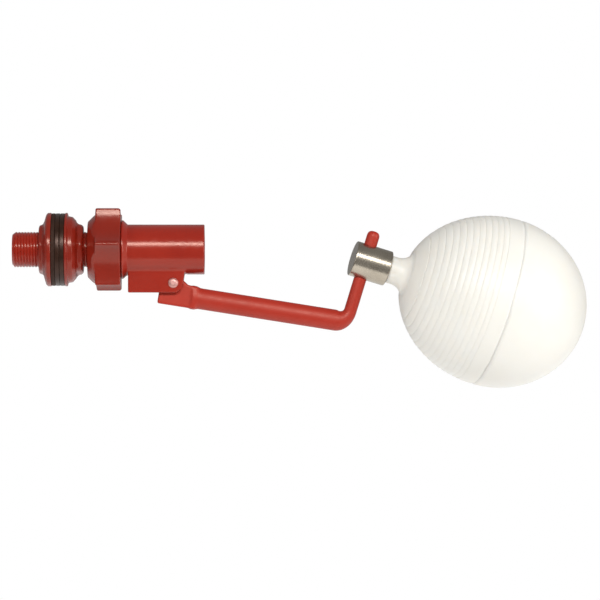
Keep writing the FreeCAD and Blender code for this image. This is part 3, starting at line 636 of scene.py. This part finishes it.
def lever():
    """Flat head and short leg, oval arm, bend and round post, as one moulding in the lever's frame."""
    turn = math.pi / 2 - POST_LEAN
    setback = BEND_RADIUS * math.tan(turn / 2)
    bend_start = ARM_REACH - setback
    bend_height = BEND_RADIUS - ARM_DROP
    post_foot = bend_start + math.sin(turn) * BEND_RADIUS, bend_height - math.cos(turn) * BEND_RADIUS
    post_way = math.sin(POST_LEAN), math.cos(POST_LEAN)
    leg_way = -math.sin(ARM_TILT), math.cos(ARM_TILT)
    head_low, head_high = -ARM_DROP - HEAD_DEPTH / 2, HEAD_DEPTH / 2 - ARM_DROP
    head_outline = inset([
        (-HEAD_BACK, head_low), (HEAD_FRONT, head_low), (HEAD_FRONT, head_high), (9, 0.2), (3.3, 4.0),
        (-2.9, 4.0), (-HEAD_BACK, -2.8)], 1.1)
    leg_core = LEG_HALF - 2 * LEG_ROUND
    leg_outline = [(-leg_core, 0), (leg_core, 0), (leg_core, LEG_LENGTH), (-leg_core, LEG_LENGTH)]

    def rod(x, y, z):
        """Oval arm that turns into the round post along the bend."""
        angle = np.arctan2(x - bend_start, bend_height - z)
        round_bend = np.hypot(x - bend_start, z - bend_height) - BEND_RADIUS
        up_post = (x - post_foot[0]) * post_way[0] + (z - post_foot[1]) * post_way[1]
        off_post = (x - post_foot[0]) * post_way[1] - (z - post_foot[1]) * post_way[0]
        on_arm = (x < bend_start) & (z < bend_height + 6)
        on_post = ~on_arm & (up_post > 0)
        across = np.where(on_arm, -(z + ARM_DROP), np.where(on_post, off_post, round_bend))
        share = np.where(on_arm, 0, np.where(on_post, 1, np.clip(angle / turn, 0, 1)))
        thin = share * share * (3 - 2 * share)
        deep = ARM_DEPTH / 2 + (POST_RADIUS - ARM_DEPTH / 2) * thin
        wide = ARM_WIDTH / 2 + (POST_RADIUS - ARM_WIDTH / 2) * thin
        ring = np.sqrt((across / deep) ** 2 + (y / wide) ** 2)
        slope = np.sqrt((across / deep ** 2) ** 2 + (y / wide ** 2) ** 2)
        oval = ring * (ring - 1) / np.maximum(slope, 1e-6)
        topped = both(oval, up_post - (POST_HEIGHT - setback), 3.5)
        return both(topped, ARM_START - x, 0.5)

    def field(p):
        x, y, z = p.T
        head = slab(polygon(x, z, head_outline), y, HEAD_HALF, 1.1)
        along_leg = x * leg_way[0] + z * leg_way[1]
        off_leg = x * leg_way[1] - z * leg_way[0]
        leg = slab(polygon(off_leg, along_leg, leg_outline) - LEG_ROUND, y, LEG_SIDE, LEG_ROUND)
        toe_core = np.hypot(off_leg, along_leg - LEG_LENGTH) - (TOE_RADIUS - LEG_ROUND)
        toe = slab(toe_core, y, LEG_SIDE, LEG_ROUND)
        solid = join(head, rod(x, y, z), 2.5)
        solid = join(solid, join(leg, toe, 1.5), 0.8)
        return cut(solid, np.hypot(x, z) - (PIN_RADIUS + 0.05), 0.3)

    piece = net("lever_moulding", field, (-10, -6, -22), (126, 6, 52), 0.5, LEVER)
    finished(piece, "lever", "lever_arm", LIT_ARM_RED)


# ---- clamp --------------------------------------------------------------------------------------


def clamp():
    """Steel collar turned about the float's axis, with a cross hole for the post."""
    reach = CLAMP_RADIUS + 0.05

    def field(p):
        bar = turned(p, [
            (-CLAMP_BACK, PAST_AXIS), (-CLAMP_BACK, CLAMP_RADIUS), (CLAMP_FRONT, CLAMP_RADIUS),
            (CLAMP_FRONT, PAST_AXIS)], 0.5)
        bore = turned(p, [
            (-CLAMP_FLOOR, PAST_AXIS), (-CLAMP_FLOOR, CLAMP_BORE), (30, CLAMP_BORE), (30, PAST_AXIS)], 0.01)
        cross = np.hypot(p[:, 0], p[:, 1]) - (POST_RADIUS + 0.1)
        return cut(cut(bar, bore, 0.5), cross, 0.5)

    collar = net("clamp_collar_turned", field, (-CLAMP_BACK - 0.1, -reach, -reach),
                 (CLAMP_FRONT + 0.05, reach, reach), 0.3, FLOAT)
    finished(collar, "clamp", "clamp_collar", STEEL)


# ---- float --------------------------------------------------------------------------------------


def shell_outline(side, half_long, stop, steps):
    """Half of the float's skin as (along, out), outside from the weld to the angle stop, then inside
    from the far point back to the weld. side is 1 for the plain half and -1 for the ribbed one."""
    outside = []
    for step in range(steps + 1):
        angle = stop * step / steps
        along = FLOAT_REACH + side * half_long * math.sin(angle)
        out = FLOAT_RADIUS * math.cos(angle)
        gap = abs(along - FLOAT_REACH)
        sunk = SEAM_DEPTH * max(0.0, 1 - gap / SEAM_WIDTH)
        if side < 0 and RIB_STOP < gap < RIB_STOP + RIB_COUNT * RIB_PITCH:
            phase = ((gap - RIB_STOP) / RIB_PITCH) % 1
            sunk += RIB_DEPTH * (1 - math.sqrt(max(0.0, 1 - (2 * phase - 1) ** 2)))
        slope = np.array([math.sin(angle) / half_long * side, math.cos(angle) / FLOAT_RADIUS])
        slope /= np.linalg.norm(slope)
        outside.append((along - sunk * slope[0], out - sunk * slope[1]))
    inside = []
    for step in range(41):
        angle = NEAR_AXIS * (1 - step / 40)
        inside.append((FLOAT_REACH + side * (half_long - FLOAT_WALL) * math.sin(angle),
                       (FLOAT_RADIUS - FLOAT_WALL) * math.cos(angle)))
    return outside, inside


def plain_half():
    outside, inside = shell_outline(1, FAR_HALF_LONG, NEAR_AXIS, 60)
    tip = [(FLOAT_REACH + FAR_HALF_LONG, TIP_RADIUS)]
    half = lathe("float_plain_half", outside + tip + inside, FLOAT, 192, 40)
    finished(half, "float", "float_far_half", WHITE)


def ribbed_half():
    """Neck with the stud's hole, flare and ringed skin, from the hole outwards and back inside."""
    stop = math.asin((FLOAT_REACH - NECK_START - NECK_LENGTH) / NECK_HALF_LONG)
    outside, inside = shell_outline(-1, NECK_HALF_LONG, stop, 420)
    neck = rounded([(NECK_START + 5, STUD_RADIUS), (NECK_START, STUD_RADIUS, 0.3),
                    (NECK_START, NECK_RADIUS, 0.7), (NECK_START + NECK_STRAIGHT, NECK_RADIUS)], 5)
    flare = []
    flare_start = NECK_START + NECK_STRAIGHT
    flare_end, flare_radius = outside[-1]
    for step in range(1, 25):
        angle = step / 25 * math.pi / 2
        flare.append((flare_start + (flare_end - flare_start) * math.sin(angle) ** 0.9,
                      NECK_RADIUS + (flare_radius - NECK_RADIUS) * (1 - math.cos(angle))))
    hole_end = NECK_START + STUD_DEPTH
    hole = [(hole_end + 0.9, TIP_RADIUS), (hole_end, TIP_RADIUS), (hole_end, STUD_RADIUS)]
    half = lathe("float_ribbed_half", neck + flare + outside[::-1] + inside[::-1] + hole, FLOAT, 192, 40)
    finished(half, "float", "float_neck_half", WHITE)


# ---- CAD pieces shown as they are ---------------------------------------------------------------


def carried_over():
    """CAD nodes whose shape is right as it is, given their finish."""
    for node, material in (("union_gasket", RUBBER), ("nozzle", JET), ("nozzle_o_ring", RUBBER),
                           ("plunger", JET), ("seat_disc", RUBBER), ("pressure_pad", JET),
                           ("float_stud", BRASS), ("pivot_pin", PIN_STEEL), ("pivot_clip", PIN_STEEL)):
        mesh = frame["nodes"][node].data
        mesh.materials.clear()
        mesh.materials.append(material)


# ---- studio, in metres --------------------------------------------------------------------------

MIDDLE = (0.1454, 0, -0.0311)
ROOM_LIGHT = 0.34
FLOOR_LIGHT = 0.6
FLOOR_DROP = 0.16
FLOOR_SIDES = (-0.9, 1.2, -0.28, 0.9)


def area(name, at, width, height, power):
    """Rectangular light, in metres and watts, turned to the middle of the object."""
    light = bpy.data.lights.new(name, "AREA")
    light.shape = "RECTANGLE"
    light.size, light.size_y = width, height
    light.energy = power
    lamp = bpy.data.objects.new(name, light)
    bpy.context.scene.collection.objects.link(lamp)
    lamp.location = at
    lamp.rotation_euler = (Vector(MIDDLE) - Vector(at)).to_track_quat("-Z", "Y").to_euler()


def seen_as(nodes, links, lighting, seen, output):
    """Light the object with one shader and show the camera the other, so the ground stays white."""
    mix = nodes.new("ShaderNodeMixShader")
    path = nodes.new("ShaderNodeLightPath")
    links.new(path.outputs["Is Camera Ray"], mix.inputs[0])
    links.new(lighting.outputs[0], mix.inputs[1])
    links.new(seen.outputs[0], mix.inputs[2])
    links.new(mix.outputs[0], nodes[output].inputs["Surface"])


def room():
    world = bpy.data.worlds.new("studio")
    world.use_nodes = True
    nodes, links = world.node_tree.nodes, world.node_tree.links
    dim = nodes["Background"]
    pale = nodes.new("ShaderNodeBackground")
    for background, strength in ((dim, ROOM_LIGHT), (pale, 1.0)):
        background.inputs["Color"].default_value = (1, 1, 1, 1)
        background.inputs["Strength"].default_value = strength
    seen_as(nodes, links, dim, pale, "World Output")
    bpy.context.scene.world = world


def floor():
    """Pale floor below the object, which throws light up at it."""
    left, right, front, back = FLOOR_SIDES
    height = min(cad_low[2], -0.09) - FLOOR_DROP
    mesh = bpy.data.meshes.new("floor")
    mesh.from_pydata([(left, front, height), (right, front, height), (right, back, height),
                      (left, back, height)], [], [(0, 1, 2, 3)])
    ground = bpy.data.objects.new("floor", mesh)
    bpy.context.scene.collection.objects.link(ground)
    white = bpy.data.materials.new("floor_white")
    white.use_nodes = True
    nodes, links = white.node_tree.nodes, white.node_tree.links
    shader = nodes["Principled BSDF"]
    shader.inputs["Base Color"].default_value = (0.8, 0.8, 0.8, 1)
    shader.inputs["Roughness"].default_value = 0.9
    shader.inputs["Emission Color"].default_value = (1, 1, 1, 1)
    shader.inputs["Emission Strength"].default_value = FLOOR_LIGHT
    seen_as(nodes, links, shader, nodes.new("ShaderNodeEmission"), "Material Output")
    mesh.materials.append(white)


def studio():
    bpy.context.scene.view_settings.view_transform = "Standard"
    room()
    floor()
    area("softbox", (0.22, -0.9, 0.43), 0.85, 0.2, 10)
    area("right_fill", (1.15, -0.45, 0.14), 0.5, 0.5, 5.5)
    area("left_fill", (-0.95, -0.6, 0.36), 0.35, 0.35, 2)


def camera():
    """Long lens, level and square to the valve's axis."""
    eye = bpy.data.cameras.new("camera")
    eye.lens = 296.5
    eye.sensor_width = 36
    eye.clip_start = 0.01
    view = bpy.data.objects.new("camera", eye)
    bpy.context.scene.collection.objects.link(view)
    view.location = (MIDDLE[0], -3.0, -0.0306)
    view.rotation_euler = (math.pi / 2, 0, 0)
    bpy.context.scene.camera = view


camera()
studio()
tail()
washers()
flanged_nuts()
union_nut()
valve_body()
lever()
clamp()
plain_half()
ribbed_half()
carried_over()
